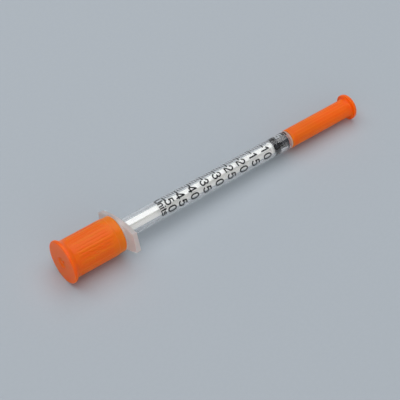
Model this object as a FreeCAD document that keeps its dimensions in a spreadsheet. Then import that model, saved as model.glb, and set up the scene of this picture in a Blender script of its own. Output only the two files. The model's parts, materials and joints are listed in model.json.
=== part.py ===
import FreeCAD, Part

import math
import os
import re

import Sketcher
from FreeCAD import Placement, Rotation, Vector

# Half millilitre insulin syringe with a fixed needle, capped at both ends and lying on a table.
# All lengths are millimetres. Every piece is modelled along its own X axis, rear end at the origin
# (the shield with its mouth there), and is then laid on the common axis, which points to the needle.
SIZES = [
    ("bore_diameter", 3.8, "cylinder that the stopper runs in: one unit is 0.88 mm long"),
    ("barrel_diameter", 5.7, "outside of the graduated tube at the flange"),
    ("barrel_front_diameter", 5.5, "outside at the shoulder, narrower so that it leaves its mould"),
    ("barrel_body_length", 59.6, "finger flange to front shoulder"),
    ("shoulder_thickness", 0.9, "front wall between the bore and the shoulder"),
    ("bore_cone_depth", 0.15, "shallow cone at the front of the bore"),
    ("flange_length", 18.2, "finger flange, tip to tip"),
    ("flange_end_width", 6.1, "straight ends of the flange"),
    ("flange_middle_width", 8.7, "across the bowed long sides"),
    ("flange_thickness", 1.5, "plate of the finger flange"),
    ("flange_corner_round", 0.8, "corners seen from the front"),
    ("flange_edge_round", 0.2, "rims of the plate"),
    ("ridge_count", 3, "finger ridges on each wing"),
    ("ridge_first_offset", 5.3, "axis to the first ridge"),
    ("ridge_pitch", 1.25, "ridge to ridge"),
    ("ridge_width", 0.55, "foot of a ridge"),
    ("ridge_height", 0.25, "ridge above the plate"),
    ("ridge_length", 4.4, "ridge across the wing"),
    ("stop_disc_diameter", 11.0, "round step that the cap's mouth meets"),
    ("stop_disc_thickness", 0.4, "thickness of that step"),
    ("collar_diameter", 9.6, "ring behind the flange that holds the cap"),
    ("collar_wall", 0.85, "wall of that ring"),
    ("collar_length", 3.2, "how far the ring stands back"),
    ("lead_in_diameter", 4.9, "funnel at the open end of the bore"),
    ("lead_in_depth", 0.8, "depth of that funnel"),
    ("bead_height", 0.12, "ring in the bore that keeps the stopper in"),
    ("bead_width", 0.5, "width of that ring"),
    ("bead_offset", 1.4, "step face to the ring"),
    ("nose_length", 8.4, "shoulder to the tip of the nose"),
    ("nose_root_diameter", 3.4, "nose at the shoulder"),
    ("nose_tip_diameter", 2.8, "nose at its tip"),
    ("fin_count", 4, "fins that grip the shield"),
    ("fin_span_root", 4.3, "across two fins at the shoulder"),
    ("fin_span_tip", 4.1, "across two fins at their front"),
    ("fin_length", 6.9, "fins along the nose"),
    ("fin_width", 0.6, "thickness of a fin"),
    ("well_diameter", 1.7, "mouth of the adhesive well"),
    ("well_depth", 1.3, "depth of that well"),
    ("well_foot_diameter", 0.6, "foot of that well"),
    ("needle_diameter", 0.33, "29 gauge cannula"),
    ("needle_bore", 0.19, "hole through the cannula"),
    ("needle_exposed", 12.7, "half inch of cannula in front of the nose"),
    ("needle_setback", 0.4, "rear of the cannula in front of the bore"),
    ("bevel_angle", 12.0, "degrees between the bevel and the cannula"),
    ("bond_gap", 0.01, "adhesive film round the cannula and in the well"),
    ("adhesive_proud", 0.2, "fillet of adhesive in front of the nose"),
    ("adhesive_tip_diameter", 0.9, "that fillet at its front"),
    ("stopper_length", 5.4, "whole rubber stopper"),
    ("stopper_clearance", 0.03, "stopper to bore, each side"),
    ("front_rib_length", 0.8, "sealing rib at the dose line"),
    ("rear_rib_length", 2.1, "sealing rib at the rear"),
    ("stopper_waist_diameter", 3.3, "between the ribs"),
    ("stopper_edge_round", 0.15, "edges of the ribs"),
    ("socket_mouth_diameter", 1.7, "hole for the rod's neck"),
    ("socket_mouth_depth", 1.2, "length of that hole"),
    ("socket_diameter", 2.5, "chamber for the rod's head"),
    ("socket_depth", 3.6, "chamber floor from the rear face"),
    ("snap_clearance", 0.05, "rod's neck and head to the rubber"),
    ("seat_gap", 0.05, "between faces that meet and part again"),
    ("head_tip_diameter", 1.3, "front of the rod's barbed head"),
    ("rod_diameter", 3.1, "across the rod's blades"),
    ("blade_count", 4, "blades of the cross section"),
    ("blade_thickness", 0.8, "thickness of a blade"),
    ("guide_disc_diameter", 3.5, "disc behind the stopper"),
    ("guide_disc_thickness", 0.8, "thickness of that disc"),
    ("thumb_standoff", 14.7, "step face to the thumb rest with the plunger fully in"),
    ("thumb_rest_diameter", 9.2, "disc that the thumb presses"),
    ("thumb_rest_thickness", 1.4, "thickness of that disc"),
    ("thumb_edge_round", 0.35, "rims of that disc"),
    ("thumb_dish_diameter", 7.0, "hollow in its rear face"),
    ("thumb_dish_depth", 0.35, "depth of that hollow"),
    ("web_length", 3.0, "buttress of each blade under the thumb rest"),
    ("web_span", 6.4, "across two buttresses"),
    ("rod_roll", 17.0, "degrees that the rod happens to be turned"),
    ("shield_wall", 0.66, "wall of the needle shield round the fins"),
    ("shield_clearance", 0.02, "fins to the shield's bore, each side"),
    ("shield_inner_diameter", 3.4, "shield's bore round the needle"),
    ("shield_step_depth", 8.8, "mouth to the narrow bore"),
    ("shield_tip_gap", 1.65, "needle tip to the shield's end wall"),
    ("shield_end_wall", 1.5, "closed end of the shield"),
    ("shield_rim_diameter", 7.9, "button rim at the closed end"),
    ("shield_rim_length", 1.4, "thickness of that rim"),
    ("shield_rim_round", 1.0, "outer edge of that rim"),
    ("shield_rim_fillet", 0.6, "hollow round between tube and rim"),
    ("shield_mouth_round", 0.2, "lip of the shield"),
    ("shield_flute_count", 24, "fine grip flutes round the shield"),
    ("shield_flute_depth", 0.05, "depth of a flute"),
    ("shield_flute_width", 0.42, "width of a flute"),
    ("shield_flute_end", 1.6, "plain length at each end of the flutes"),
    ("cap_wall", 0.795, "wall of the plunger cap round the collar"),
    ("cap_clearance", 0.03, "collar to the cap's bore, each side"),
    ("cap_end_gap", 0.7, "thumb rest to the cap's end wall"),
    ("cap_end_wall", 1.0, "closed end of the cap"),
    ("cap_rim_diameter", 13.0, "flared rim at the closed end"),
    ("cap_rim_land", 0.8, "straight part of that rim"),
    ("cap_flare_length", 2.0, "end face to the end of the flare"),
    ("cap_flare_fillet", 0.9, "hollow round where the flare meets the tube"),
    ("cap_edge_round", 0.35, "rear edge of the rim"),
    ("cap_mouth_step", 0.175, "how much thinner the wall is in the plain band at the mouth"),
    ("cap_mouth_length", 2.4, "length of that band"),
    ("cap_mouth_round", 0.3, "outer lip of the mouth"),
    ("cap_flute_count", 36, "fine grip flutes round the cap"),
    ("cap_flute_depth", 0.06, "depth of a flute"),
    ("cap_flute_width", 0.5, "width of a flute"),
    ("cap_flute_end", 1.2, "plain length at each end of the flutes"),
    ("gate_dimple_diameter", 3.6, "moulding gate recess in the cap's end face"),
    ("gate_dimple_depth", 0.4, "depth of that recess"),
    ("gate_nub_diameter", 0.9, "nub of the gate inside the recess"),
    ("gate_nub_height", 0.25, "height of that nub"),
]

CLOSE = 1e-3  # two places nearer than this are the same

doc = FreeCAD.newDocument("insulin_syringe")
sheet = doc.addObject("Spreadsheet::Sheet", "Sizes")
for row, (alias, value, meaning) in enumerate(SIZES, start=1):
    sheet.set("A%d" % row, meaning)
    sheet.set("B%d" % row, str(value))
    sheet.setAlias("B%d" % row, alias)
doc.recompute()


def size(alias):
    """The number in a cell of the sheet."""
    return float(sheet.get(alias))


def bound(text):
    """An expression in which every alias is read from the sheet."""
    aliases = {alias for alias, value, meaning in SIZES}
    return re.sub("[a-z_]+", lambda word: "Sizes." * (word.group() in aliases) + word.group(), text)


def add_body(name):
    """An empty body that will hold one piece."""
    body = doc.addObject("PartDesign::Body", name)
    body.Label = name
    return body


def origin_feature(body, role):
    """A plane or axis of the body's own origin."""
    for feature in body.Origin.OriginFeatures:
        if feature.Role == role:
            return feature


def add_sketch(body, name, role, offset="0"):
    """A sketch on one of the body's origin planes, moved along that plane's normal."""
    sketch = body.newObject("Sketcher::SketchObject", name)
    sketch.AttachmentSupport = [(origin_feature(body, role), "")]
    sketch.MapMode = "FlatFace"
    if offset != "0":
        sketch.setExpression("AttachmentOffset.Base.z", bound(offset))
    return sketch


def hold(sketch, kind, line, value, expression):
    """One coordinate of a line's start, bound to the sheet, or to the axis where it is zero."""
    axis = -1 if kind == "DistanceY" else -2
    if expression == "0":
        sketch.addConstraint(Sketcher.Constraint("PointOnObject", line, 1, axis))
        return
    number = sketch.addConstraint(Sketcher.Constraint(kind, -1, 1, line, 1, value))
    name = "%s_%d" % ("along" if kind == "DistanceX" else "across", line)
    sketch.renameConstraint(number, name)
    sketch.setExpression("Constraints." + name, bound(expression))


def add_outline(body, name, corners, role="XZ_Plane", offset="0"):
    """A closed outline of straight lines whose corners are pairs of expressions."""
    sketch = add_sketch(body, name, role, offset)
    count = len(corners)
    turn = 2.0 * math.pi / count
    start = [Vector(30 + 20 * math.cos(turn * i), 30 - 20 * math.sin(turn * i), 0) for i in range(count)]
    for i in range(count):
        sketch.addGeometry(Part.LineSegment(start[i], start[(i + 1) % count]), False)
    for i in range(count):
        sketch.addConstraint(Sketcher.Constraint("Coincident", i, 2, (i + 1) % count, 1))
    for i, (along, across) in enumerate(corners):
        hold(sketch, "DistanceX", i, start[i].x, along)
        hold(sketch, "DistanceY", i, start[i].y, across)
    return sketch


def turn(body, name, corners, cut=False):
    """The outline turned about X, added to the body or cut out of it."""
    sketch = add_outline(body, name + "_outline", corners)
    feature = body.newObject("PartDesign::Groove" if cut else "PartDesign::Revolution", name)
    feature.Profile = sketch
    feature.ReferenceAxis = (sketch, ["H_Axis"])
    feature.Angle = 360
    doc.recompute()
    return feature


def blade(body, name, corners, thickness, count):
    """An upright blade about the XZ plane, repeated round X."""
    pad = body.newObject("PartDesign::Pad", name)
    pad.Profile = add_outline(body, name + "_outline", corners)
    pad.SideType = "Symmetric"
    pad.setExpression("Length", bound(thickness))
    doc.recompute()
    return repeat_round(body, name + "_ring", pad, count)


def repeat_round(body, name, feature, count):
    """Copies of a feature spread evenly round X."""
    pattern = body.newObject("PartDesign::PolarPattern", name)
    pattern.Originals = [feature]
    pattern.Axis = (origin_feature(body, "X_Axis"), [""])
    pattern.Angle = 360
    pattern.setExpression("Occurrences", bound(count))
    body.Tip = pattern
    doc.recompute()
    return pattern


def ring_edges(feature, along, pick=max):
    """The names of the edges of the widest circle about X at one place, or with min the narrowest."""
    rings = {}
    for number, edge in enumerate(feature.Shape.Edges, start=1):
        curve = edge.Curve
        if not isinstance(curve, Part.Circle):
            continue
        centre = curve.Center
        if abs(centre.x - along) < CLOSE and math.hypot(centre.y, centre.z) < CLOSE:
            rings.setdefault(round(curve.Radius, 3), []).append("Edge%d" % number)
    return rings[pick(rings)]


def round_edges(body, name, base, edges, radius):
    """A fillet on named edges of the last feature."""
    fillet = body.newObject("PartDesign::Fillet", name)
    fillet.Base = (base, edges)
    fillet.setExpression("Radius", bound(radius))
    doc.recompute()
    return fillet


def flute(body, name, diameter, width, depth, first, last, count):
    """Shallow hollows along the outside, each the arc of a round cutter."""
    sketch = add_sketch(body, name + "_section", "YZ_Plane", first)
    cutter = "( ( {0} ) ^ 2 / ( 8 * ( {1} ) ) + ( {1} ) / 2 )".format(width, depth)
    start = size("bore_diameter")
    sketch.addGeometry(Part.Circle(Vector(0, 2 * start, 0), Vector(0, 0, 1), start), False)
    sketch.addConstraint(Sketcher.Constraint("PointOnObject", 0, 3, -2))
    place = sketch.addConstraint(Sketcher.Constraint("DistanceY", -1, 1, 0, 3, 2 * start))
    sketch.renameConstraint(place, "centre")
    sketch.setExpression("Constraints.centre", bound("%s / 2 + %s - %s" % (diameter, cutter, depth)))
    radius = sketch.addConstraint(Sketcher.Constraint("Radius", 0, start))
    sketch.renameConstraint(radius, "cutter")
    sketch.setExpression("Constraints.cutter", bound(cutter))
    pocket = body.newObject("PartDesign::Pocket", name)
    pocket.Profile = sketch
    pocket.Reversed = True
    pocket.setExpression("Length", bound("%s - ( %s )" % (last, first)))
    doc.recompute()
    return repeat_round(body, name + "_ring", pocket, count)


# Places along each piece, as expressions of the sheet
STEP_FACE = "collar_length"
FLANGE_REAR = "collar_length + stop_disc_thickness"
FLANGE_FRONT = FLANGE_REAR + " + flange_thickness"
SHOULDER = FLANGE_FRONT + " + barrel_body_length"
BORE_END = SHOULDER + " - shoulder_thickness"
NOSE_TIP = SHOULDER + " + nose_length"
SHIELD_END = "nose_length + needle_exposed + shield_tip_gap + shield_end_wall - seat_gap"
CAP_END = "thumb_standoff + thumb_rest_thickness + cap_end_gap + cap_end_wall - seat_gap"

# Bores of the two caps, from what they grip, and the outsides that their walls give them
CAP_BORE = "( collar_diameter / 2 + cap_clearance )"
CAP_OUTSIDE = "( " + CAP_BORE + " + cap_wall )"
FIN_GRIP = "( sqrt((fin_span_root / 2) ^ 2 + (fin_width / 2) ^ 2) + shield_clearance )"
SHIELD_OUTSIDE = "( " + FIN_GRIP + " + shield_wall )"


def add_flange_outline(body):
    """Finger flange seen along the axis: straight ends and bowed long sides."""
    sketch = add_sketch(body, "flange_outline", "YZ_Plane", FLANGE_REAR)
    half, end, middle = (size(name) / 2 for name in ("flange_length", "flange_end_width",
                                                     "flange_middle_width"))
    right_top, right_low = Vector(half, end, 0), Vector(half, -end, 0)
    left_top, left_low = Vector(-half, end, 0), Vector(-half, -end, 0)
    sketch.addGeometry(Part.Arc(right_top, Vector(0, middle, 0), left_top), False)
    sketch.addGeometry(Part.LineSegment(left_top, left_low), False)
    sketch.addGeometry(Part.Arc(left_low, Vector(0, -middle, 0), right_low), False)
    sketch.addGeometry(Part.LineSegment(right_low, right_top), False)
    for constraint in (("Coincident", 0, 2, 1, 1), ("Coincident", 1, 2, 2, 1), ("Coincident", 2, 2, 3, 1),
                       ("Coincident", 3, 2, 0, 1), ("Symmetric", 1, 1, 3, 2, -2),
                       ("Symmetric", 1, 1, 1, 2, -1), ("Symmetric", 3, 1, 3, 2, -1), ("Equal", 0, 2)):
        sketch.addConstraint(Sketcher.Constraint(*constraint))
    bow = "((flange_middle_width - flange_end_width) / 2)"
    radius = "((flange_length / 2) ^ 2 + %s ^ 2) / (2 * %s)" % (bow, bow)
    side_radius = (half ** 2 + (middle - end) ** 2) / (2 * (middle - end))
    for kind, parts, start, name, expression in (
            ("DistanceX", (1, 1, 3, 2), 2 * half, "tip_to_tip", "flange_length"),
            ("DistanceY", (3, 1, 3, 2), 2 * end, "end_width", "flange_end_width"),
            ("Radius", (0,), side_radius, "bowed_side", radius)):
        number = sketch.addConstraint(Sketcher.Constraint(kind, *parts, start))
        sketch.renameConstraint(number, name)
        sketch.setExpression("Constraints." + name, bound(expression))
    return sketch


def make_barrel():
    """One clear moulding: graduated tube, finger flange, cap collar and finned nose."""
    body = add_body("barrel")
    turn(body, "barrel_outside", [
        ("0", "0"), ("0", "collar_diameter / 2"),
        (STEP_FACE, "collar_diameter / 2"), (STEP_FACE, "stop_disc_diameter / 2"),
        (FLANGE_REAR, "stop_disc_diameter / 2"), (FLANGE_REAR, "barrel_diameter / 2"),
        (SHOULDER, "barrel_front_diameter / 2"), (SHOULDER, "nose_root_diameter / 2"),
        (NOSE_TIP, "nose_tip_diameter / 2"), (NOSE_TIP, "0")])
    plate = body.newObject("PartDesign::Pad", "flange_plate")
    plate.Profile = add_flange_outline(body)
    plate.setExpression("Length", bound("flange_thickness"))
    doc.recompute()

    # The four upright corners of the plate, then the rims of both its faces
    half_length, end_half = size("flange_length") / 2, size("flange_end_width") / 2
    corners = []
    for number, edge in enumerate(plate.Shape.Edges, start=1):
        middle = edge.BoundBox.Center
        if edge.BoundBox.XLength > 0.5 * size("flange_thickness") and \
                abs(abs(middle.y) - half_length) < CLOSE and abs(abs(middle.z) - end_half) < CLOSE:
            corners.append("Edge%d" % number)
    rounded = round_edges(body, "flange_corners", plate, corners, "flange_corner_round")
    rear = size("collar_length") + size("stop_disc_thickness")
    rims = []
    for number, edge in enumerate(rounded.Shape.Edges, start=1):
        box = edge.BoundBox
        far = max(abs(box.YMin), abs(box.YMax)) > size("stop_disc_diameter") / 2
        if far and box.XLength < CLOSE and abs(box.XMin - rear - size("flange_thickness")) < CLOSE:
            rims.append("Edge%d" % number)
    round_edges(body, "flange_rim", rounded, rims, "flange_edge_round")

    for wing, side in (("left", "-"), ("right", "")):
        for number in range(int(size("ridge_count"))):
            centre = "( ridge_first_offset + %d * ridge_pitch )" % number
            near = "%s1 * ( %s - ridge_width / 2 )" % (side, centre)
            away = "%s1 * ( %s + ridge_width / 2 )" % (side, centre)
            low, high = "-1 * ridge_length / 2", "ridge_length / 2"
            name = "%s_ridge_%d" % (wing, number + 1)
            pad = body.newObject("PartDesign::Pad", name)
            pad.Profile = add_outline(body, name + "_outline",
                                      [(near, low), (away, low), (away, high), (near, high)],
                                      "YZ_Plane", FLANGE_FRONT + " - ridge_height")
            pad.setExpression("Length", bound("2 * ridge_height"))
            doc.recompute()

    blade(body, "nose_fin", [
        (SHOULDER + " - shoulder_thickness / 2", "nose_tip_diameter / 4"),
        (SHOULDER + " - shoulder_thickness / 2", "fin_span_root / 2"),
        (SHOULDER, "fin_span_root / 2"),
        (SHOULDER + " + fin_length", "fin_span_tip / 2"),
        (SHOULDER + " + fin_length", "nose_tip_diameter / 4")], "fin_width", "fin_count")

    bead = STEP_FACE + " + bead_offset"
    hole = "needle_diameter / 2 + bond_gap"
    turn(body, "bore", [
        ("-1 * seat_gap", "0"), ("-1 * seat_gap", "collar_diameter / 2 - collar_wall"),
        (STEP_FACE, "collar_diameter / 2 - collar_wall"), (STEP_FACE, "lead_in_diameter / 2"),
        (STEP_FACE + " + lead_in_depth", "bore_diameter / 2"), (bead, "bore_diameter / 2"),
        (bead + " + bead_width / 2", "bore_diameter / 2 - bead_height"),
        (bead + " + bead_width", "bore_diameter / 2"), (BORE_END, "bore_diameter / 2"),
        (BORE_END + " + bore_cone_depth", hole),
        (NOSE_TIP + " - well_depth", hole), (NOSE_TIP + " - well_depth", "well_foot_diameter / 2"),
        (NOSE_TIP, "well_diameter / 2"), (NOSE_TIP + " + seat_gap", "well_diameter / 2"),
        (NOSE_TIP + " + seat_gap", "0")], cut=True)
    return body


def make_needle():
    """Hollow steel cannula, square at the rear and ground to a bevel in front."""
    body = add_body("needle_cannula")
    length = "shoulder_thickness - needle_setback + nose_length + needle_exposed"
    turn(body, "cannula_tube", [
        ("0", "needle_bore / 2"), ("0", "needle_diameter / 2"),
        (length, "needle_diameter / 2"), (length, "needle_bore / 2")])
    bevel = body.newObject("PartDesign::Pocket", "bevel")
    bevel.Profile = add_outline(body, "bevel_outline", [
        (length + " - needle_diameter / tan(bevel_angle * 1 deg)", "needle_diameter / 2"),
        (length + " + needle_diameter", "needle_diameter / 2"),
        (length + " + needle_diameter", "-1 * needle_diameter / 2"),
        (length, "-1 * needle_diameter / 2")])
    bevel.SideType = "Symmetric"
    bevel.setExpression("Length", bound("2 * needle_diameter"))
    doc.recompute()
    return body


def make_adhesive():
    """Bead of cured adhesive that fills the well in the nose and grips the cannula."""
    body = add_body("needle_adhesive")
    hole = "needle_diameter / 2 + bond_gap"
    turn(body, "adhesive_bead", [
        ("0", hole), ("0", "well_foot_diameter / 2 - bond_gap"),
        ("well_depth - bond_gap", "well_diameter / 2 - bond_gap"),
        ("well_depth + adhesive_proud", "adhesive_tip_diameter / 2"),
        ("well_depth + adhesive_proud", hole)])
    return body


def make_stopper():
    """Black rubber stopper: two sealing ribs, a waist and a snap socket in the rear."""
    body = add_body("stopper")
    outside = "bore_diameter / 2 - stopper_clearance"
    front = "stopper_length - front_rib_length"
    waist = "stopper_waist_diameter / 2"
    turned = turn(body, "stopper_outside", [
        ("0", "0"), ("0", outside), ("rear_rib_length", outside), ("rear_rib_length", waist),
        (front, waist), (front, outside), ("stopper_length", outside), ("stopper_length", "0")])
    edges = []
    for place in (0, size("rear_rib_length"), size("stopper_length") - size("front_rib_length"),
                  size("stopper_length")):
        edges += ring_edges(turned, place)
    round_edges(body, "rib_edges", turned, edges, "stopper_edge_round")
    turn(body, "socket", [
        ("-1 * seat_gap", "0"), ("-1 * seat_gap", "socket_mouth_diameter / 2"),
        ("socket_mouth_depth", "socket_mouth_diameter / 2"),
        ("socket_mouth_depth", "socket_diameter / 2"),
        ("socket_depth - ( socket_diameter - head_tip_diameter ) / 2", "socket_diameter / 2"),
        ("socket_depth", "head_tip_diameter / 2"), ("socket_depth", "0")], cut=True)
    return body


# Rod length from the rear of the thumb rest to the front of the guide disc
ROD_FRONT = "( thumb_rest_thickness + thumb_standoff + stop_disc_thickness + flange_thickness" \
            " + barrel_body_length - shoulder_thickness - stopper_length - seat_gap )"


def make_rod():
    """White plunger rod: thumb rest, four blades, guide disc, neck and barbed head."""
    body = add_body("plunger_rod")
    turned = turn(body, "thumb_rest", [
        ("0", "0"), ("0", "thumb_rest_diameter / 2"),
        ("thumb_rest_thickness", "thumb_rest_diameter / 2"), ("thumb_rest_thickness", "0")])
    edges = ring_edges(turned, 0) + ring_edges(turned, size("thumb_rest_thickness"))
    round_edges(body, "thumb_rest_rims", turned, edges, "thumb_edge_round")
    turn(body, "thumb_dish", [
        ("-1 * seat_gap", "0"), ("-1 * seat_gap", "thumb_dish_diameter / 2"),
        ("0", "thumb_dish_diameter / 2"), ("thumb_dish_depth", "thumb_dish_diameter / 2 - thumb_dish_depth"),
        ("thumb_dish_depth", "0")], cut=True)
    under = "thumb_rest_thickness / 2"
    disc = ROD_FRONT + " - guide_disc_thickness"
    blade(body, "blade", [
        (under, "0"), (under, "web_span / 2"), ("thumb_rest_thickness", "web_span / 2"),
        ("thumb_rest_thickness + web_length", "rod_diameter / 2"),
        (disc + " + guide_disc_thickness / 2", "rod_diameter / 2"),
        (disc + " + guide_disc_thickness / 2", "0")], "blade_thickness", "blade_count")
    neck = "socket_mouth_diameter / 2 - snap_clearance"
    head = "socket_diameter / 2 - snap_clearance"
    tip = "head_tip_diameter / 2 - snap_clearance"
    barb = ROD_FRONT + " + seat_gap + socket_mouth_depth + snap_clearance"
    taper = ROD_FRONT + " + seat_gap + socket_depth - ( socket_diameter - head_tip_diameter ) / 2" \
                        " - snap_clearance"
    end = ROD_FRONT + " + seat_gap + socket_depth - snap_clearance"
    turn(body, "guide_disc_and_head", [
        (disc, "0"), (disc, "guide_disc_diameter / 2"), (ROD_FRONT, "guide_disc_diameter / 2"),
        (ROD_FRONT, neck), (barb, neck), (barb, head), (taper, head), (end, tip), (end, "0")])
    return body


def make_shield():
    """Orange needle shield: fluted tube with a button rim at its closed end."""
    body = add_body("needle_shield")
    rim = SHIELD_END + " - shield_rim_length"
    turned = turn(body, "shield_outside", [
        ("0", "0"), ("0", SHIELD_OUTSIDE), (rim, SHIELD_OUTSIDE),
        (rim, "shield_rim_diameter / 2"), (SHIELD_END, "shield_rim_diameter / 2"), (SHIELD_END, "0")])
    end = turned.Shape.BoundBox.XMax
    rim_rear = end - size("shield_rim_length")
    root = round_edges(body, "rim_root", turned, ring_edges(turned, rim_rear, min), "shield_rim_fillet")
    edge = round_edges(body, "rim_edge", root, ring_edges(root, end), "shield_rim_round")
    round_edges(body, "mouth_lip", edge, ring_edges(edge, 0), "shield_mouth_round")
    flute(body, "shield_flute", "2 * " + SHIELD_OUTSIDE, "shield_flute_width", "shield_flute_depth",
          "shield_flute_end", rim + " - shield_flute_end", "shield_flute_count")
    turn(body, "shield_bore", [
        ("-1 * seat_gap", "0"), ("-1 * seat_gap", FIN_GRIP), ("shield_step_depth", FIN_GRIP),
        ("shield_step_depth + " + FIN_GRIP + " - shield_inner_diameter / 2", "shield_inner_diameter / 2"),
        (SHIELD_END + " - shield_end_wall", "shield_inner_diameter / 2"),
        (SHIELD_END + " - shield_end_wall", "0")], cut=True)
    return body


def make_cap():
    """Orange plunger cap: fluted cup with a flared rim round its closed end."""
    body = add_body("plunger_cap")
    band = CAP_END + " - cap_mouth_length"
    turned = turn(body, "cap_outside", [
        ("0", "0"), ("0", "cap_rim_diameter / 2"), ("cap_rim_land", "cap_rim_diameter / 2"),
        ("cap_flare_length", CAP_OUTSIDE), (band, CAP_OUTSIDE),
        (band + " + cap_mouth_step", CAP_OUTSIDE + " - cap_mouth_step"),
        (CAP_END, CAP_OUTSIDE + " - cap_mouth_step"), (CAP_END, "0")])
    mouth = turned.Shape.BoundBox.XMax
    flare = round_edges(body, "flare_root", turned, ring_edges(turned, size("cap_flare_length")),
                        "cap_flare_fillet")
    rear = round_edges(body, "rim_edge", flare, ring_edges(flare, 0), "cap_edge_round")
    round_edges(body, "mouth_lip", rear, ring_edges(rear, mouth), "cap_mouth_round")
    flute(body, "cap_flute", "2 * " + CAP_OUTSIDE, "cap_flute_width", "cap_flute_depth",
          "cap_flare_length + cap_flute_end", band + " - cap_flute_end", "cap_flute_count")
    turn(body, "cap_bore", [
        ("cap_end_wall", "0"), ("cap_end_wall", CAP_BORE), (CAP_END + " + seat_gap", CAP_BORE),
        (CAP_END + " + seat_gap", "0")], cut=True)
    turn(body, "gate_dimple", [
        ("-1 * seat_gap", "gate_nub_diameter / 2"), ("-1 * seat_gap", "gate_dimple_diameter / 2"),
        ("0", "gate_dimple_diameter / 2"),
        ("gate_dimple_depth", "gate_dimple_diameter / 2 - gate_dimple_depth"),
        ("gate_dimple_depth", "gate_nub_diameter / 2")], cut=True)
    turn(body, "gate_nub_top", [
        ("-1 * seat_gap", "0"), ("-1 * seat_gap", "gate_nub_diameter / 2"),
        ("gate_dimple_depth - gate_nub_height", "gate_nub_diameter / 2"),
        ("gate_dimple_depth - gate_nub_height", "0")], cut=True)
    return body


barrel = make_barrel()
needle = make_needle()
adhesive = make_adhesive()
stopper = make_stopper()
rod = make_rod()
shield = make_shield()
cap = make_cap()

# Places on the common axis, whose zero is the front end of the bore and of the dose scale
shoulder_at = size("shoulder_thickness")
nose_tip_at = shoulder_at + size("nose_length")
flange_front_at = shoulder_at - size("barrel_body_length")
step_at = flange_front_at - size("flange_thickness") - size("stop_disc_thickness")
barrel_at = step_at - size("collar_length")
rod_at = step_at - size("thumb_standoff") - size("thumb_rest_thickness")
cap_at = rod_at - size("cap_end_gap") - size("cap_end_wall")
shield_at = shoulder_at + size("seat_gap")
shield_end_at = shield_at + shield.Shape.BoundBox.XMax

# The syringe lies on the front corner of the cap's rim and on the rounded edge of the shield's
# button, so its axis dips to the needle
corner_at, corner_radius = cap_at + size("cap_rim_land"), size("cap_rim_diameter") / 2
button_round = size("shield_rim_round")
button_at, button_radius = shield_end_at - button_round, size("shield_rim_diameter") / 2 - button_round
span, drop = button_at - corner_at, corner_radius - button_radius
dip = math.atan2(drop, span) - math.asin(button_round / math.hypot(span, drop))
axis_height = corner_at * math.sin(dip) + corner_radius * math.cos(dip)

# It has rolled until a corner of the finger flange came down on the table too
rim_at = flange_front_at - size("flange_edge_round")
reach = (axis_height - rim_at * math.sin(dip)) / math.cos(dip) - size("seat_gap") / 2
corner_round = size("flange_corner_round")
corner_out = size("flange_length") / 2 - corner_round
bow = (size("flange_middle_width") - size("flange_end_width")) / 2
side_slope = math.atan2(2 * bow, size("flange_length") / 2)
corner_up = size("flange_end_width") / 2 - corner_round * (1 / math.cos(side_slope) - math.tan(side_slope))
corner_far = math.hypot(corner_out, corner_up)
roll = math.degrees(math.asin((reach - corner_round) / corner_far) - math.atan2(corner_up, corner_out))

for body, along, turned_by in ((barrel, barrel_at, -roll), (needle, size("needle_setback"), -roll),
                               (adhesive, nose_tip_at - size("well_depth"), 0),
                               (stopper, -size("stopper_length"), 0),
                               (rod, rod_at, size("rod_roll")), (shield, shield_at, 0), (cap, cap_at, 0)):
    lying = Placement(Vector(0, 0, axis_height), Rotation(Vector(0, 1, 0), math.degrees(dip)))
    body.Placement = lying * Placement(Vector(along, 0, 0), Rotation(Vector(1, 0, 0), turned_by))
doc.recompute()

# The origin is under the middle of the whole syringe, on the table
rear_most = cap.Shape.optimalBoundingBox().XMin
front_most = shield.Shape.optimalBoundingBox().XMax
pieces = [barrel, needle, adhesive, stopper, rod, shield, cap]
for body in pieces:
    body.Placement = Placement(Vector(-(rear_most + front_most) / 2, 0, 0), Rotation()) * body.Placement
doc.recompute()

for item in doc.Objects:
    if "Invalid" in item.State or "Error" in item.State:
        raise RuntimeError("%s did not build" % item.Name)
for body in pieces:
    if body.Shape.isNull() or not body.Shape.isValid() or len(body.Shape.Solids) != 1:
        raise RuntimeError("%s is not one sound solid" % body.Label)

os.makedirs("parts", exist_ok=True)
for body in pieces:
    body.Shape.exportStep("parts/%s.step" % body.Label)
    box = body.Shape.BoundBox
    print("%-16s volume %8.2f mm3, x %7.2f to %7.2f, y %6.2f to %6.2f, z %6.2f to %6.2f" % (
        body.Label, body.Shape.Volume, box.XMin, box.XMax, box.YMin, box.YMax, box.ZMin, box.ZMax))
print("axis dips %.3f degrees, flange rolled %.2f degrees, axis height %.3f, shift %.3f" % (
    math.degrees(dip), roll, axis_height, -(rear_most + front_most) / 2))
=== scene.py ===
import json
import math

import bpy
import numpy as np
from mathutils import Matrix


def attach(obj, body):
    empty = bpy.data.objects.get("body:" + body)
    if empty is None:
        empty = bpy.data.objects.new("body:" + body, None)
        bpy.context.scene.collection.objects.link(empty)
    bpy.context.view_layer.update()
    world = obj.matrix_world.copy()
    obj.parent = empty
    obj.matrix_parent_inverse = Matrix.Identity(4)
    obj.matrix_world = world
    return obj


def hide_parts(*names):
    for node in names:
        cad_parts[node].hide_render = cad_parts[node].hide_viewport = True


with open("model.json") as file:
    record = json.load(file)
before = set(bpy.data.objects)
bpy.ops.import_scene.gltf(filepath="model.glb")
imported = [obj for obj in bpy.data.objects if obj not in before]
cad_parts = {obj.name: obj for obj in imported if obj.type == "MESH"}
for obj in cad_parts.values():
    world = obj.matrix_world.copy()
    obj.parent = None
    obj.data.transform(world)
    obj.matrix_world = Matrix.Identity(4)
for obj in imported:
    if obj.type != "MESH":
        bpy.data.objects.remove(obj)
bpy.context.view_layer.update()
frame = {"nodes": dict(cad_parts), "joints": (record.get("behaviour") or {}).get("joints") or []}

MM = 0.001

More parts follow.
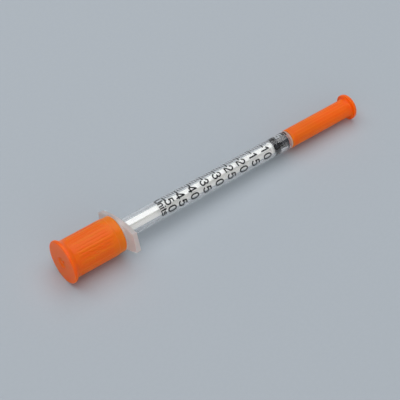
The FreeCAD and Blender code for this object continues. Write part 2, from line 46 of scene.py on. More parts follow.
# Camera: looks down on the syringe from behind its thumb end, as the photograph does. Its place and
# the nearest thing that it sees are in millimetres, and its tilt and turn in degrees.
CAMERA_PLACE = (-161.28, -206.31, 299.23)
CAMERA_DOWN = 49.15
CAMERA_TURN = 37.18
CAMERA_LENS = 123.55
CAMERA_NEAR = 10
camera = bpy.data.objects.new("camera", bpy.data.cameras.new("camera"))
bpy.context.scene.collection.objects.link(camera)
camera.location = [MM * place for place in CAMERA_PLACE]
camera.rotation_euler = (math.radians(90 - CAMERA_DOWN), 0, -math.radians(CAMERA_TURN))
camera.data.lens = CAMERA_LENS
camera.data.clip_start = CAMERA_NEAR * MM
bpy.context.scene.camera = camera
bpy.context.scene.view_settings.view_transform = "Standard"


# Table: a plain sheet of matt board, pale blue-grey. The fibres pressed into it leave its colour and
# its face a little uneven, and are drawn as coarse as they need to be to show.
TABLE_HALF = 1.5
BOARD_LIGHT, BOARD_DARK = "AEB7C0", "AAB3BC"
BOARD_ROUGHNESS = 0.8
FIBRE_LENGTH, FIBRE_WIDTH, FIBRE_HEIGHT = 1.2, 0.8, 0.01
GRAIN_DETAIL = 2.0


def linear(hex_colour):
    """The linear colour of an sRGB hex value: over 0.04045, (value + 0.055) / 1.055 to the power 2.4."""
    srgb = [int(hex_colour[i:i + 2], 16) / 255 for i in (0, 2, 4)]
    return [c / 12.92 if c <= 0.04045 else ((c + 0.055) / 1.055) ** 2.4 for c in srgb] + [1.0]


def add_node(tree, kind, settings=None, **inputs):
    """A new node of one kind. An input is a number, a colour, a vector or the socket that feeds it,
    and goes by the socket's name, or by i and the socket's number where names repeat."""
    node = tree.nodes.new(kind)
    for key, value in (settings or {}).items():
        setattr(node, key, value)
    for key, value in inputs.items():
        socket = node.inputs[int(key[1:])] if key[1:].isdigit() else node.inputs[key.replace("_", " ")]
        if isinstance(value, bpy.types.NodeSocket):
            tree.links.new(value, socket)
        else:
            socket.default_value = value
    return node


def new_material(name):
    """An empty material and its tree."""
    material = bpy.data.materials.new(name)
    material.use_nodes = True
    material.node_tree.nodes.clear()
    return material, material.node_tree


def finish_material(tree, surface):
    """The output node that shows a shader node."""
    add_node(tree, "ShaderNodeOutputMaterial", Surface=surface.outputs[0])


def grain(tree, length, width):
    """Noise from 0 to 1 whose spots are so many millimetres long, along the syringe, and wide."""
    spot = add_node(tree, "ShaderNodeTexCoord").outputs["Object"]
    fine = (1 / (length * MM), 1 / (width * MM), 1 / (width * MM))
    spot = add_node(tree, "ShaderNodeVectorMath", {"operation": "MULTIPLY"}, i0=spot, i1=fine).outputs[0]
    return add_node(tree, "ShaderNodeTexNoise", Vector=spot, Scale=1.0, Detail=GRAIN_DETAIL).outputs[0]


def blend(tree, share, first, second):
    """The colour that goes from the first to the second as share goes from 0 to 1. Each of them is a
    hex value or a socket."""
    first, second = [linear(each) if isinstance(each, str) else each for each in (first, second)]
    return add_node(tree, "ShaderNodeMix", {"data_type": "RGBA"}, Factor=share, i6=first,
                    i7=second).outputs[2]


def raised(tree, height, depth):
    """The normal of a surface that stands depth millimetres higher where height is 1 than where 0."""
    return add_node(tree, "ShaderNodeBump", Strength=1.0, Distance=depth * MM, Height=height).outputs[0]


table = bpy.data.meshes.new("table")
table.from_pydata([(-TABLE_HALF, -TABLE_HALF, 0), (TABLE_HALF, -TABLE_HALF, 0),
                   (TABLE_HALF, TABLE_HALF, 0), (-TABLE_HALF, TABLE_HALF, 0)], [], [(0, 1, 2, 3)])
table_top = bpy.data.objects.new("table", table)
bpy.context.scene.collection.objects.link(table_top)
board, tree = new_material("matt_board")
fibres = grain(tree, FIBRE_LENGTH, FIBRE_WIDTH)
finish_material(tree, add_node(tree, "ShaderNodeBsdfPrincipled", Roughness=BOARD_ROUGHNESS,
                               Base_Color=blend(tree, fibres, BOARD_LIGHT, BOARD_DARK),
                               Normal=raised(tree, fibres, FIBRE_HEIGHT)))
table.materials.append(board)


# Light: a large soft lamp overhead, in a pale room whose walls fade from LOW_WALLS at the table's
# level to HIGH_WALLS at WALL_TOP, which is the sine of an angle above it. A soft round reflector
# stands low down on the camera's side.
LAMP_PLACE = (0.0, 0.17, 1.0)
LAMP_SIZE = 1.44
LAMP_POWER = 11.8
ROOM_COLOUR = "FFFCF8"
LOW_WALLS, HIGH_WALLS = 0.70, 0.11
WALL_TOP = 0.5
REFLECTOR_TOWARD = (-0.50, -0.82, 0.28)
REFLECTOR_EDGE = 0.5
REFLECTOR_BRIGHTNESS = 0.87
world = bpy.data.worlds.new("room")
world.use_nodes = True
tree = world.node_tree
tree.nodes.clear()
toward = add_node(tree, "ShaderNodeTexCoord").outputs["Generated"]
height = add_node(tree, "ShaderNodeSeparateXYZ", Vector=toward).outputs["Z"]
walls = add_node(tree, "ShaderNodeMapRange", {"interpolation_type": "SMOOTHSTEP"}, Value=height,
                 From_Max=WALL_TOP, To_Min=LOW_WALLS, To_Max=HIGH_WALLS).outputs[0]
facing = add_node(tree, "ShaderNodeVectorMath", {"operation": "DOT_PRODUCT"}, i0=toward,
                  i1=REFLECTOR_TOWARD).outputs["Value"]
reflector = add_node(tree, "ShaderNodeMapRange", {"interpolation_type": "SMOOTHSTEP"}, Value=facing,
                     From_Min=REFLECTOR_EDGE, From_Max=1.0, To_Max=REFLECTOR_BRIGHTNESS).outputs[0]
brightness = add_node(tree, "ShaderNodeMath", {"operation": "ADD"}, i0=walls, i1=reflector).outputs[0]
room = add_node(tree, "ShaderNodeBackground", Color=linear(ROOM_COLOUR), Strength=brightness)
add_node(tree, "ShaderNodeOutputWorld", Surface=room.outputs[0])
bpy.context.scene.world = world

softbox = bpy.data.lights.new("overhead_softbox", "AREA")
softbox.size = LAMP_SIZE
softbox.energy = LAMP_POWER
lamp = bpy.data.objects.new("overhead_softbox", softbox)
bpy.context.scene.collection.objects.link(lamp)
lamp.location = LAMP_PLACE
# It faces the syringe: tilted by the arc tangent of its way out over its height, then turned.
lamp.rotation_euler = (math.atan2(math.hypot(LAMP_PLACE[0], LAMP_PLACE[1]), LAMP_PLACE[2]), 0,
                       math.atan2(LAMP_PLACE[0], -LAMP_PLACE[1]))


# Barrel: one moulding of clear polypropylene with its finger flange, collar and finned nose. The
# tube is polished, with a faint haze in its wall; the flange and the front are left rough by the
# mould and are milky, and their colour carries a painted orange bounce from the caps beside them.
FLANGE_FRONT = -58.7
FRONT_FACE, SHOULDER_END = 0.1, 1.0
FROSTED_EDGE = 0.4
# The flange and front colours are milky white with a painted orange bounce from the caps beside them; the
# front's is the stronger one, on the shoulder ring beside the shield.
TUBE_TINT, FLANGE_MILKY_PAINTED_BOUNCE, FRONT_MILKY_PAINTED_BOUNCE = "FFFFFF", "EFE6E4", "DFBCAC"
TUBE_ROUGHNESS, FLANGE_ROUGHNESS = 0.03, 0.45
TUBE_CLARITY, TUBE_EDGE_CLARITY = 0.995, 0.80
FLANGE_CLARITY, FRONT_CLARITY = 0.62, 0.40
POLYPROPYLENE_IOR = 1.49
MILKY_DEPTH, MILKY_SPREAD = 2.0, (1.0, 0.8, 0.7)
RIPPLE_LENGTH, RIPPLE_WIDTH, RIPPLE_HEIGHT = 14.0, 1.4, 0.0008
BARREL_LETS_THROUGH = "D4D9DB"

# The syringe's axis, which every piece shares. Places along it are millimetres from the front of the
# bore, which is the zero of the dose scale, and grow towards the needle. Turns about it are degrees
# from straight up towards the side on which the numerals are. The rod swivels in the stopper at
# SWIVEL_PLACE.
SWIVEL_PLACE = -4.0
joints = {joint["name"]: joint for joint in frame["joints"]}
ALONG = np.array(joints["shield_pull"]["axis"])
ACROSS = np.array([0.0, 1.0, 0.0])
UPWARD = np.cross(ALONG, ACROSS)
ZERO = np.array(joints["rod_swivel"]["pos_m"]) - SWIVEL_PLACE * MM * ALONG


def axis_place(tree):
    """Sockets of the way along the axis from zero, in metres, and of the turn about it, in radians:
    the arc tangent of how far a point is to the numerals' side over how far it is up."""
    spot = add_node(tree, "ShaderNodeTexCoord").outputs["Object"]
    spot = add_node(tree, "ShaderNodeVectorMath", {"operation": "SUBTRACT"}, i0=spot, i1=ZERO).outputs[0]
    along, up, side = [add_node(tree, "ShaderNodeVectorMath", {"operation": "DOT_PRODUCT"}, i0=spot,
                                i1=way).outputs["Value"] for way in (ALONG, UPWARD, -ACROSS)]
    return along, add_node(tree, "ShaderNodeMath", {"operation": "ARCTAN2"}, i0=side, i1=up).outputs[0]


def ramp(tree, value, low, high):
    """A socket that goes from 0 to 1 while value, in metres, goes from low to high millimetres."""
    return add_node(tree, "ShaderNodeMapRange", Value=value, From_Min=low * MM,
                    From_Max=high * MM).outputs[0]


def between(tree, share, start, end):
    """A number that goes from start to end as share goes from 0 to 1."""
    return add_node(tree, "ShaderNodeMapRange", Value=share, To_Min=start, To_Max=end).outputs[0]


def shaded(tree, surface, let_through):
    """The same surface, which to a ray on its way to the lamp is a clear film of the colour that the
    piece lets through, so that its shadow is of that colour."""
    film = add_node(tree, "ShaderNodeBsdfTransparent", Color=linear(let_through))
    shadow_ray = add_node(tree, "ShaderNodeLightPath").outputs["Is Shadow Ray"]
    return add_node(tree, "ShaderNodeMixShader", Fac=shadow_ray, i1=surface.outputs[0],
                    i2=film.outputs[0])


def dress(node_name, material):
    """The material on a CAD node, in place of the frame's own."""
    mesh = frame["nodes"][node_name].data
    mesh.materials.clear()
    mesh.materials.append(material)


barrel_plastic, tree = new_material("clear_moulded_polypropylene")
along, turned = axis_place(tree)
rear = ramp(tree, along, FLANGE_FRONT + FROSTED_EDGE, FLANGE_FRONT)
front = ramp(tree, along, FRONT_FACE, FRONT_FACE + FROSTED_EDGE)
frosted = add_node(tree, "ShaderNodeMath", {"operation": "MAXIMUM"}, i0=rear, i1=front).outputs[0]
# The shoulder ring beside the shield, which gets the stronger painted orange bounce.
painted_bounce_ring = add_node(tree, "ShaderNodeMath", {"operation": "MINIMUM"}, i0=front,
                    i1=ramp(tree, along, SHOULDER_END + FROSTED_EDGE, SHOULDER_END)).outputs[0]
tint_with_painted_bounce = blend(tree, frosted, TUBE_TINT, blend(tree, painted_bounce_ring, FLANGE_MILKY_PAINTED_BOUNCE, FRONT_MILKY_PAINTED_BOUNCE))
# Light that grazes the wall has more of it to cross, so the tube's edges look hazier than its middle.
grazing = add_node(tree, "ShaderNodeLayerWeight").outputs["Facing"]
clarity = between(tree, grazing, TUBE_CLARITY, TUBE_EDGE_CLARITY)
for share, rough_clarity in ((rear, FLANGE_CLARITY), (front, FRONT_CLARITY)):
    clarity = add_node(tree, "ShaderNodeMath", {"operation": "MINIMUM"}, i0=clarity,
                       i1=between(tree, share, 1.0, rough_clarity)).outputs[0]
ripple = grain(tree, RIPPLE_LENGTH, RIPPLE_WIDTH)
plastic = add_node(tree, "ShaderNodeBsdfPrincipled", Base_Color=tint_with_painted_bounce, IOR=POLYPROPYLENE_IOR,
                   Roughness=between(tree, frosted, TUBE_ROUGHNESS, FLANGE_ROUGHNESS),
                   Transmission_Weight=clarity, Subsurface_Weight=frosted,
                   Subsurface_Scale=MILKY_DEPTH * MM, Subsurface_Radius=MILKY_SPREAD,
                   Normal=raised(tree, ripple, RIPPLE_HEIGHT))
finish_material(tree, shaded(tree, plastic, BARREL_LETS_THROUGH))
dress("barrel", barrel_plastic)


# Dose scale: black ink, screen printed on the outside of the tube and cured. A line for each unit, a
# long one for every fifth with its number, and the word for what they count. A unit is
# UNIT_VOLUME cubic millimetres of the bore. The ends of lines are turns in degrees.
BORE_DIAMETER = 3.8
UNIT_VOLUME = 10
UNIT_LENGTH = UNIT_VOLUME / (math.pi * BORE_DIAMETER ** 2 / 4)
TUBE_REAR, TUBE_REAR_RADIUS = -60.2, 2.85
TUBE_FRONT, TUBE_FRONT_RADIUS = 0.9, 2.75
UNITS_PRINTED = 50
UNITS_NUMBERED = 5
LINE_START, SHORT_LINE_END, LONG_LINE_END = -33.0, -9.0, 5.0
SHORT_LINE_WIDTH, LONG_LINE_WIDTH = 0.25, 0.42
NUMERAL_TURN = 44.0
NUMERAL_HEIGHT = 2.8
NUMERAL_PITCH = 2.3
NUMERAL_WIDTH = 0.42
NUMERAL_AHEAD = 0.10
CROWDED_AHEAD = {45: 0.30, 50: 1.0}
WORD_TURN = 25.0
WORD_HEIGHT = 2.05
WORD_WIDTH = 0.38
WORD_BEHIND = 2.70
INK_PROUD = 0.012
INK_SUNK = 0.03
PEN_STEPS = 10
INK_BLACK, INK_WORN = "050608", "0F1013"
INK_ROUGHNESS, INK_SPECULAR = 0.4, 0.25
SPECKLE_SIZE, SPECKLE_HEIGHT = 0.2, 0.004
# The haze of the wall spreads the light that passes beside a thin line, so its shadow is weak.
INK_LETS_THROUGH = "EEEEEE"

# Each sign is strokes of the pen, and each stroke is Bezier curves that share their ends: one point,
# then three for every curve. A sign is 1 high and stands on 0, and its first number is its width.
SIGNS = {
    "0": (0.66, [[(0.33, 0.94), (0.50, 0.94), (0.58, 0.78), (0.58, 0.50), (0.58, 0.22), (0.50, 0.06),
                  (0.33, 0.06), (0.16, 0.06), (0.08, 0.22), (0.08, 0.50), (0.08, 0.78), (0.16, 0.94),
                  (0.33, 0.94)]]),
    "1": (0.66, [[(0.42, 0.00), (0.42, 0.33), (0.42, 0.66), (0.42, 1.00)],
                 [(0.42, 0.97), (0.37, 0.86), (0.27, 0.77), (0.14, 0.72)]]),
    "2": (0.66, [[(0.09, 0.67), (0.09, 0.84), (0.19, 0.94), (0.33, 0.94), (0.48, 0.94), (0.58, 0.84),
                  (0.58, 0.69), (0.58, 0.46), (0.12, 0.36), (0.07, 0.06)],
                 [(0.04, 0.06), (0.23, 0.06), (0.42, 0.06), (0.60, 0.06)]]),
    "3": (0.66, [[(0.09, 0.72), (0.10, 0.85), (0.20, 0.94), (0.32, 0.94), (0.46, 0.94), (0.55, 0.85),
                  (0.55, 0.73), (0.55, 0.60), (0.44, 0.53), (0.27, 0.53)],
                 [(0.27, 0.53), (0.47, 0.53), (0.59, 0.45), (0.59, 0.30), (0.59, 0.15), (0.48, 0.06),
                  (0.32, 0.06), (0.18, 0.06), (0.08, 0.14), (0.07, 0.28)]]),
    "4": (0.66, [[(0.47, 0.00), (0.47, 0.33), (0.47, 0.66), (0.47, 1.00)],
                 [(0.46, 0.95), (0.32, 0.74), (0.18, 0.52), (0.05, 0.31)],
                 [(0.03, 0.28), (0.23, 0.28), (0.43, 0.28), (0.63, 0.28)]]),
    "5": (0.66, [[(0.15, 0.94), (0.29, 0.94), (0.43, 0.94), (0.56, 0.94)],
                 [(0.18, 0.97), (0.16, 0.82), (0.13, 0.66), (0.11, 0.50)],
                 [(0.11, 0.49), (0.17, 0.59), (0.24, 0.62), (0.33, 0.62), (0.48, 0.62), (0.59, 0.51),
                  (0.59, 0.34), (0.59, 0.18), (0.48, 0.06), (0.32, 0.06), (0.18, 0.06), (0.08, 0.14),
                  (0.07, 0.27)]]),
    "U": (0.86, [[(0.12, 1.00), (0.12, 0.78), (0.12, 0.58), (0.12, 0.38), (0.12, 0.16), (0.24, 0.06),
                  (0.43, 0.06), (0.62, 0.06), (0.74, 0.16), (0.74, 0.38), (0.74, 0.58), (0.74, 0.78),
                  (0.74, 1.00)]]),
    "n": (0.70, [[(0.13, 0.00), (0.13, 0.24), (0.13, 0.48), (0.13, 0.72)],
                 [(0.13, 0.46), (0.15, 0.60), (0.24, 0.67), (0.35, 0.67), (0.49, 0.67), (0.56, 0.59),
                  (0.56, 0.44), (0.56, 0.29), (0.56, 0.15), (0.56, 0.00)]]),
    "i": (0.30, [[(0.14, 0.00), (0.14, 0.24), (0.14, 0.48), (0.14, 0.72)],
                 [(0.14, 0.86), (0.14, 0.90), (0.14, 0.95), (0.14, 1.00)]]),
    "t": (0.38, [[(0.18, 0.94), (0.18, 0.68), (0.18, 0.42), (0.18, 0.18), (0.18, 0.08), (0.24, 0.05),
                  (0.35, 0.06)],
                 [(0.03, 0.68), (0.13, 0.68), (0.24, 0.68), (0.35, 0.68)]]),
    "s": (0.62, [[(0.50, 0.53), (0.49, 0.62), (0.41, 0.68), (0.31, 0.68), (0.19, 0.68), (0.12, 0.61),
                  (0.12, 0.53), (0.12, 0.33), (0.53, 0.44), (0.53, 0.21), (0.53, 0.11), (0.43, 0.05),
                  (0.31, 0.05), (0.18, 0.05), (0.10, 0.11), (0.09, 0.22)]]),
}


def placed(along, turned, out):
    """Points in the row frame: zero plus the way along, plus out times the direction at that turn."""
    angle = np.radians(turned)[..., None]
    outward = np.cos(angle) * UPWARD - np.sin(angle) * ACROSS
    return ZERO + MM * (along[..., None] * ALONG + out[..., None] * outward)


def pen_path(points):
    """A stroke as a dense line: each curve's points weighted (1-t)^3, 3t(1-t)^2, 3t^2(1-t) and t^3."""
    points = np.array(points, float)
    t = np.linspace(0, 1, PEN_STEPS + 1)[:, None]
    curves = [(1 - t) ** 3 * a + 3 * t * (1 - t) ** 2 * b + 3 * t ** 2 * (1 - t) * c + t ** 3 * d
              for a, b, c, d in zip(points[0:-1:3], points[1::3], points[2::3], points[3::3])]
    return np.concatenate([curves[0]] + [curve[1:] for curve in curves[1:]])


def ink_line(path, width, line_at, turned):
    """Corners and faces of a line of ink on the tube. Half the width goes to each side of the path,
    square to it; way round over the tube's radius is the turn, and the rest is the way along."""
    way = np.gradient(path, axis=0)
    way /= np.linalg.norm(way, axis=1, keepdims=True)
    side = np.stack([way[:, 1], -way[:, 0]], 1) * width / 2
    flat = np.stack([path - side, path + side, path + side, path - side], 1)
    along = line_at + flat[..., 1]
    share = (along - TUBE_REAR) / (TUBE_FRONT - TUBE_REAR)
    radius = TUBE_REAR_RADIUS + share * (TUBE_FRONT_RADIUS - TUBE_REAR_RADIUS)
    out = radius + np.array([INK_PROUD, INK_PROUD, -INK_SUNK, -INK_SUNK])
    corners = placed(along, turned + np.degrees(flat[..., 0] / radius), out).reshape(-1, 3)
    station = 4 * np.arange(len(path) - 1)[:, None]
    rail = np.arange(4)
    after = (rail + 1) % 4
    quads = np.stack([station + rail, station + after, station + 4 + after, station + 4 + rail], -1)
    last = 4 * (len(path) - 1)
    ends = [[3, 2, 1, 0], [last, last + 1, last + 2, last + 3]]
    return corners, np.concatenate([quads.reshape(-1, 4), ends])


def word_lines(word, height, pitch=None):
    """The strokes of a word in millimetres, centred across, each sign as wide as pitch or its own."""
    widths = [pitch or SIGNS[sign][0] * height for sign in word]
    lines, start = [], -sum(widths) / 2
    for sign, width in zip(word, widths):
        inset = (width - SIGNS[sign][0] * height) / 2
        lines += [pen_path(stroke) * height + (start + inset, 0) for stroke in SIGNS[sign][1]]
        start += width
    return lines


def add_mesh(name, corners, faces, smooth=True):
    """An object from an array of corners and an array of four-cornered faces."""
    mesh = bpy.data.meshes.new(name)
    mesh.vertices.add(len(corners))
    mesh.vertices.foreach_set("co", np.ascontiguousarray(corners, np.float32).ravel())
    mesh.loops.add(faces.size)
    mesh.loops.foreach_set("vertex_index", np.ascontiguousarray(faces, np.int32).ravel())
    mesh.polygons.add(len(faces))
    mesh.polygons.foreach_set("loop_start", np.arange(0, faces.size, 4, dtype=np.int32))
    mesh.polygons.foreach_set("use_smooth", np.full(len(faces), smooth))
    mesh.update(calc_edges=True)
    mesh.validate()
    piece = bpy.data.objects.new(name, mesh)
    bpy.context.scene.collection.objects.link(piece)
    return piece


printed = []
for unit in range(UNITS_PRINTED + 1):
    line_at = -unit * UNIT_LENGTH
    numbered = unit % UNITS_NUMBERED == 0
    span = np.radians([LINE_START, LONG_LINE_END if numbered else SHORT_LINE_END]) * TUBE_REAR_RADIUS
    sweep = np.linspace(span[0], span[1], PEN_STEPS)
    width = LONG_LINE_WIDTH if numbered else SHORT_LINE_WIDTH
    printed.append(ink_line(np.stack([sweep, np.zeros(PEN_STEPS)], 1), width, line_at, 0.0))
    if numbered and unit:
        foot = line_at + CROWDED_AHEAD.get(unit, NUMERAL_AHEAD) - NUMERAL_HEIGHT / 2
        printed += [ink_line(path, NUMERAL_WIDTH, foot, NUMERAL_TURN)
                    for path in word_lines("%d" % unit, NUMERAL_HEIGHT, NUMERAL_PITCH)]
word_at = -UNITS_PRINTED * UNIT_LENGTH - WORD_BEHIND
printed += [ink_line(path, WORD_WIDTH, word_at, WORD_TURN) for path in word_lines("Units", WORD_HEIGHT)]

starts = np.cumsum([0] + [len(corners) for corners, faces in printed])
scale_print = add_mesh("dose_scale", np.concatenate([corners for corners, faces in printed]),
                       np.concatenate([faces + start for (corners, faces), start in zip(printed, starts)]),
                       smooth=False)
ink, tree = new_material("screen_printed_ink")
speckle = grain(tree, SPECKLE_SIZE, SPECKLE_SIZE)
print_film = add_node(tree, "ShaderNodeBsdfPrincipled", Roughness=INK_ROUGHNESS,
                      Specular_IOR_Level=INK_SPECULAR,
                      Base_Color=blend(tree, speckle, INK_BLACK, INK_WORN),
                      Normal=raised(tree, speckle, SPECKLE_HEIGHT))
finish_material(tree, shaded(tree, print_film, INK_LETS_THROUGH))
scale_print.data.materials.append(ink)
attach(scale_print, "barrel")


# Cannula: drawn stainless steel tube, ground to a bevel and siliconised, fixed in the nose. Drawing
# leaves fine bright streaks along it.
STEEL_DARK, STEEL_BRIGHT = "BFC2C5", "D2D4D6"
STEEL_SMOOTH, STEEL_ROUGH = 0.16, 0.30
DRAWN_LENGTH, DRAWN_WIDTH, DRAWN_HEIGHT = 3.0, 0.03, 0.001
steel, tree = new_material("drawn_stainless_steel")
drawn = grain(tree, DRAWN_LENGTH, DRAWN_WIDTH)
finish_material(tree, add_node(tree, "ShaderNodeBsdfPrincipled", Metallic=1.0,
                               Base_Color=blend(tree, drawn, STEEL_DARK, STEEL_BRIGHT),
                               Roughness=between(tree, drawn, STEEL_SMOOTH, STEEL_ROUGH),
                               Normal=raised(tree, drawn, DRAWN_HEIGHT)))
dress("needle_cannula", steel)


# Adhesive: a bead of clear resin, cured in the well of the nose, that grips the cannula. It has
# yellowed a little unevenly.
RESIN_CLEAR, RESIN_YELLOWED = "F2EFDA", "E8E0B8"
RESIN_ROUGHNESS, RESIN_CLARITY = 0.15, 0.6
RESIN_CLOUD = 0.4
resin, tree = new_material("cured_clear_resin")
cloud = grain(tree, RESIN_CLOUD, RESIN_CLOUD)
finish_material(tree, add_node(tree, "ShaderNodeBsdfPrincipled", Roughness=RESIN_ROUGHNESS,
                               Transmission_Weight=RESIN_CLARITY,
                               Base_Color=blend(tree, cloud, RESIN_CLEAR, RESIN_YELLOWED)))
dress("needle_adhesive", resin)


# Stopper: black rubber, moulded with two sealing ribs and a waist, and snapped on the rod's head.
# Its ribs are squeezed against the bore, so they touch the plastic with no air between. The mould
# leaves it dull, with fine pores that show from close by.
SQUEEZE = 0.02
STOPPER_RADIUS = BORE_DIAMETER / 2 + SQUEEZE
WAIST_RADIUS = 1.65
RIM_ROUND = 0.15
STOPPER_REAR, REAR_RIB_END, FRONT_RIB_START, STOPPER_FRONT = -5.4, -3.3, -0.8, 0.0
SOCKET_RADIUS, SOCKET_MOUTH_RADIUS, SOCKET_TIP_RADIUS = 1.25, 0.85, 0.65
SOCKET_MOUTH_END, SOCKET_TAPER, SOCKET_END = -4.2, -2.4, -1.8
AXIS_HOLE = 0.001
ARC_STEPS = 6
TURN_STEPS = 96
RUBBER_DARK, RUBBER_LIGHT = "171A24", "20242F"
RUBBER_ROUGHNESS, RUBBER_SPECULAR = 0.7, 0.15
PORE_SIZE, PORE_HEIGHT = 0.08, 0.0015


def soften(outline):
    """The points of an outline. A corner (along, out, round) becomes an arc of that radius, tangent
    to both its sides: its centre lies round over the sine of half the corner along the bisector."""
    outline = [(np.array(corner[:2], float), corner[2] if len(corner) > 2 else 0) for corner in outline]
    points = []
    for number, (corner, radius) in enumerate(outline):
        if not radius:
            points.append(corner[None])
            continue
        back = outline[number - 1][0] - corner
        ahead = outline[(number + 1) % len(outline)][0] - corner
        back, ahead = back / np.linalg.norm(back), ahead / np.linalg.norm(ahead)
        half = math.acos(np.clip(back @ ahead, -1, 1)) / 2
        bisector = (back + ahead) / np.linalg.norm(back + ahead)
        centre = corner + bisector * radius / math.sin(half)
        first = corner + back * radius / math.tan(half) - centre
        last = corner + ahead * radius / math.tan(half) - centre
        share = np.linspace(0, 1, ARC_STEPS + 1)[:, None]
        sweep = math.pi - 2 * half
        arc = (np.sin((1 - share) * sweep) * first + np.sin(share * sweep) * last) / math.sin(sweep)
        points.append(centre + arc)
    return np.concatenate(points)


def turned_piece(name, outline):
    """A closed outline of places along and out, carried round the axis in even steps."""
    turns = np.linspace(0, 360, TURN_STEPS, endpoint=False)
    along, turned = np.meshgrid(outline[:, 0], turns, indexing="ij")
    out = np.broadcast_to(outline[:, 1:], along.shape)
    corners = placed(along, turned, out).reshape(-1, 3)
    ring, step = np.meshgrid(np.arange(len(outline)), np.arange(TURN_STEPS), indexing="ij")
    next_ring, next_step = (ring + 1) % len(outline), (step + 1) % TURN_STEPS
    faces = np.stack([ring * TURN_STEPS + step, ring * TURN_STEPS + next_step,
                      next_ring * TURN_STEPS + next_step, next_ring * TURN_STEPS + step], -1)
    return add_mesh(name, corners, faces.reshape(-1, 4))


stopper = turned_piece("rubber_stopper", soften([
    (STOPPER_REAR, SOCKET_MOUTH_RADIUS), (STOPPER_REAR, STOPPER_RADIUS, RIM_ROUND),
    (REAR_RIB_END, STOPPER_RADIUS, RIM_ROUND), (REAR_RIB_END, WAIST_RADIUS, RIM_ROUND),
    (FRONT_RIB_START, WAIST_RADIUS, RIM_ROUND), (FRONT_RIB_START, STOPPER_RADIUS, RIM_ROUND),
    (STOPPER_FRONT, STOPPER_RADIUS, RIM_ROUND), (STOPPER_FRONT, AXIS_HOLE),
    (SOCKET_END, AXIS_HOLE), (SOCKET_END, SOCKET_TIP_RADIUS), (SOCKET_TAPER, SOCKET_RADIUS),
    (SOCKET_MOUTH_END, SOCKET_RADIUS), (SOCKET_MOUTH_END, SOCKET_MOUTH_RADIUS)]))
rubber, tree = new_material("black_moulded_rubber")
pores = grain(tree, PORE_SIZE, PORE_SIZE)
finish_material(tree, add_node(tree, "ShaderNodeBsdfPrincipled", Roughness=RUBBER_ROUGHNESS,
                               Specular_IOR_Level=RUBBER_SPECULAR,
                               Base_Color=blend(tree, pores, RUBBER_DARK, RUBBER_LIGHT),
                               Normal=raised(tree, pores, PORE_HEIGHT)))
stopper.data.materials.append(rubber)
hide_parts("stopper")
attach(stopper, "stopper")


# Plunger rod: white polypropylene, moulded in one with its thumb rest, blades and barbed head. The
# plastic lets light into its thin blades, so their shade is soft, and has faint streaks where it
# flowed along the mould.
ROD_WHITE, ROD_FLOW = "F7F3F0", "FBF8F5"
ROD_ROUGHNESS, ROD_SPECULAR = 0.55, 0.2
ROD_DEPTH, ROD_SPREAD = 1.8, (1.0, 1.0, 1.0)
FLOW_LENGTH, FLOW_WIDTH = 5.0, 0.5
ROD_GRAIN, ROD_GRAIN_HEIGHT = 0.15, 0.004
white_plastic, tree = new_material("white_moulded_polypropylene")
flow = grain(tree, FLOW_LENGTH, FLOW_WIDTH)
mould_face = grain(tree, ROD_GRAIN, ROD_GRAIN)
finish_material(tree, add_node(tree, "ShaderNodeBsdfPrincipled", Roughness=ROD_ROUGHNESS,
                               Specular_IOR_Level=ROD_SPECULAR, Subsurface_Weight=1.0,
                               Subsurface_Scale=ROD_DEPTH * MM, Subsurface_Radius=ROD_SPREAD,
                               Base_Color=blend(tree, flow, ROD_WHITE, ROD_FLOW),
                               Normal=raised(tree, mould_face, ROD_GRAIN_HEIGHT)))
dress("plunger_rod", white_plastic)


# Needle shield: orange low-density polyethylene, satin from its mould, pressed over the fins of the
# nose. It lets red light through, and its grip flutes catch the light as fine lines. Broader ribs run
# over them, with a painted highlight along their crests.
SHIELD_RIBS, SHIELD_FIRST_RIB = 18, 21.0
SHIELD_RIBBED = (2.6, 22.2)
# A painted glow: the orange turns yellower towards the shield's mouth, as if lit through its thin wall.
SHIELD_MOUTH_GLOW_SPAN, SHIELD_MOUTH_PAINTED_GLOW = (2.0, 1.2), "FF7410"
# ORANGE_DEEP is the plastic's tone between crests; it blends towards ORANGE where the painted crest
# highlight and the flow streaks lighten it.
ORANGE, ORANGE_DEEP = "FF740C", "FB6404"
ORANGE_ROUGHNESS, ORANGE_SPECULAR = 0.38, 0.25
ORANGE_DEPTH, ORANGE_SPREAD = 2.0, (1.0, 0.25, 0.12)
ORANGE_LETS_THROUGH = "BC3814"
RIB_HEIGHT = 0.035
RIB_SHARPNESS = 3.0
RIB_RUN_OUT = 0.4
STREAK_LENGTH, STREAK_WIDTH = 40.0, 0.5
# How much a painted highlight lightens the rib crests, and how much the flow streaks lighten the plastic's
# own tone.
CREST_PAINTED_HIGHLIGHT, STREAK_LIGHT = 0.6, 0.5
ORANGE_GRAIN, ORANGE_GRAIN_SHARE = 0.2, 0.06


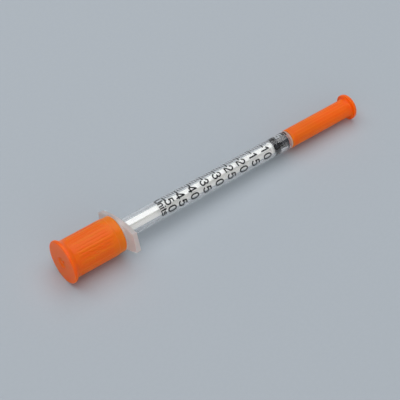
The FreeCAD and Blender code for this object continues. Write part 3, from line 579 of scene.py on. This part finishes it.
def orange_polyethylene(name, ribs, first_rib, ribbed, mouth_glow_span, mouth_painted_glow):
    """The plastic of a cap. A rib's crest is the cosine of ribs times the turn from the first one,
    brought to 0 to 1 and to a power, and runs out at both ends of the ribbed length. It raises the
    surface and also lightens the colour as a painted highlight. Flow streaks run along it, and a painted
    glow makes the thin wall of the mouth yellower."""
    material, tree = new_material(name)
    along, turned = axis_place(tree)
    crest = add_node(tree, "ShaderNodeMath", {"operation": "MULTIPLY_ADD"}, i0=turned, i1=float(ribs),
                     i2=-ribs * math.radians(first_rib)).outputs[0]
    crest = add_node(tree, "ShaderNodeMath", {"operation": "COSINE"}, i0=crest).outputs[0]
    crest = add_node(tree, "ShaderNodeMapRange", Value=crest, From_Min=-1.0).outputs[0]
    crest = add_node(tree, "ShaderNodeMath", {"operation": "POWER"}, i0=crest, i1=RIB_SHARPNESS).outputs[0]
    for start, end in ((ribbed[0], ribbed[0] + RIB_RUN_OUT), (ribbed[1], ribbed[1] - RIB_RUN_OUT)):
        crest = add_node(tree, "ShaderNodeMath", {"operation": "MULTIPLY"}, i0=crest,
                         i1=ramp(tree, along, start, end)).outputs[0]
    streak = between(tree, grain(tree, STREAK_LENGTH, STREAK_WIDTH), 0.0, STREAK_LIGHT)
    # Painted highlight on the crests, plus the flow streaks' own lighter tone.
    crest_highlight_and_streak = add_node(tree, "ShaderNodeMath", {"operation": "MULTIPLY_ADD"}, i0=crest, i1=CREST_PAINTED_HIGHLIGHT,
                     i2=streak).outputs[0]
    body = blend(tree, crest_highlight_and_streak, ORANGE_DEEP, ORANGE)
    # Painted glow: the thin wall at the mouth is made yellower, as if lit through it.
    colour = blend(tree, ramp(tree, along, mouth_glow_span[0], mouth_glow_span[1]), body, mouth_painted_glow)
    mould_face = between(tree, grain(tree, ORANGE_GRAIN, ORANGE_GRAIN), 0.0, ORANGE_GRAIN_SHARE)
    height = add_node(tree, "ShaderNodeMath", {"operation": "ADD"}, i0=crest, i1=mould_face).outputs[0]
    plastic = add_node(tree, "ShaderNodeBsdfPrincipled", Base_Color=colour, Roughness=ORANGE_ROUGHNESS,
                       Specular_IOR_Level=ORANGE_SPECULAR, Subsurface_Weight=1.0,
                       Subsurface_Scale=ORANGE_DEPTH * MM, Subsurface_Radius=ORANGE_SPREAD,
                       Normal=raised(tree, height, RIB_HEIGHT))
    finish_material(tree, shaded(tree, plastic, ORANGE_LETS_THROUGH))
    return material


dress("needle_shield", orange_polyethylene("orange_polyethylene_shield", SHIELD_RIBS, SHIELD_FIRST_RIB,
                                           SHIELD_RIBBED, SHIELD_MOUTH_GLOW_SPAN, SHIELD_MOUTH_PAINTED_GLOW))


# Plunger cap: the same plastic, a cup pressed over the collar, with wider ribs. The wall is thin
# in the plain band at its mouth, where a painted glow makes the orange yellower, as if lit through it.
CAP_RIBS, CAP_FIRST_RIB = 12, 4.8
CAP_RIBBED = (-75.6, -63.6)
# A painted glow: the orange turns yellower towards the cap's mouth, as if lit through its thin wall.
CAP_MOUTH_GLOW_SPAN, CAP_MOUTH_PAINTED_GLOW = (-65.5, -61.3), "FF7E0E"
dress("plunger_cap", orange_polyethylene("orange_polyethylene_cap", CAP_RIBS, CAP_FIRST_RIB,
                                         CAP_RIBBED, CAP_MOUTH_GLOW_SPAN, CAP_MOUTH_PAINTED_GLOW))
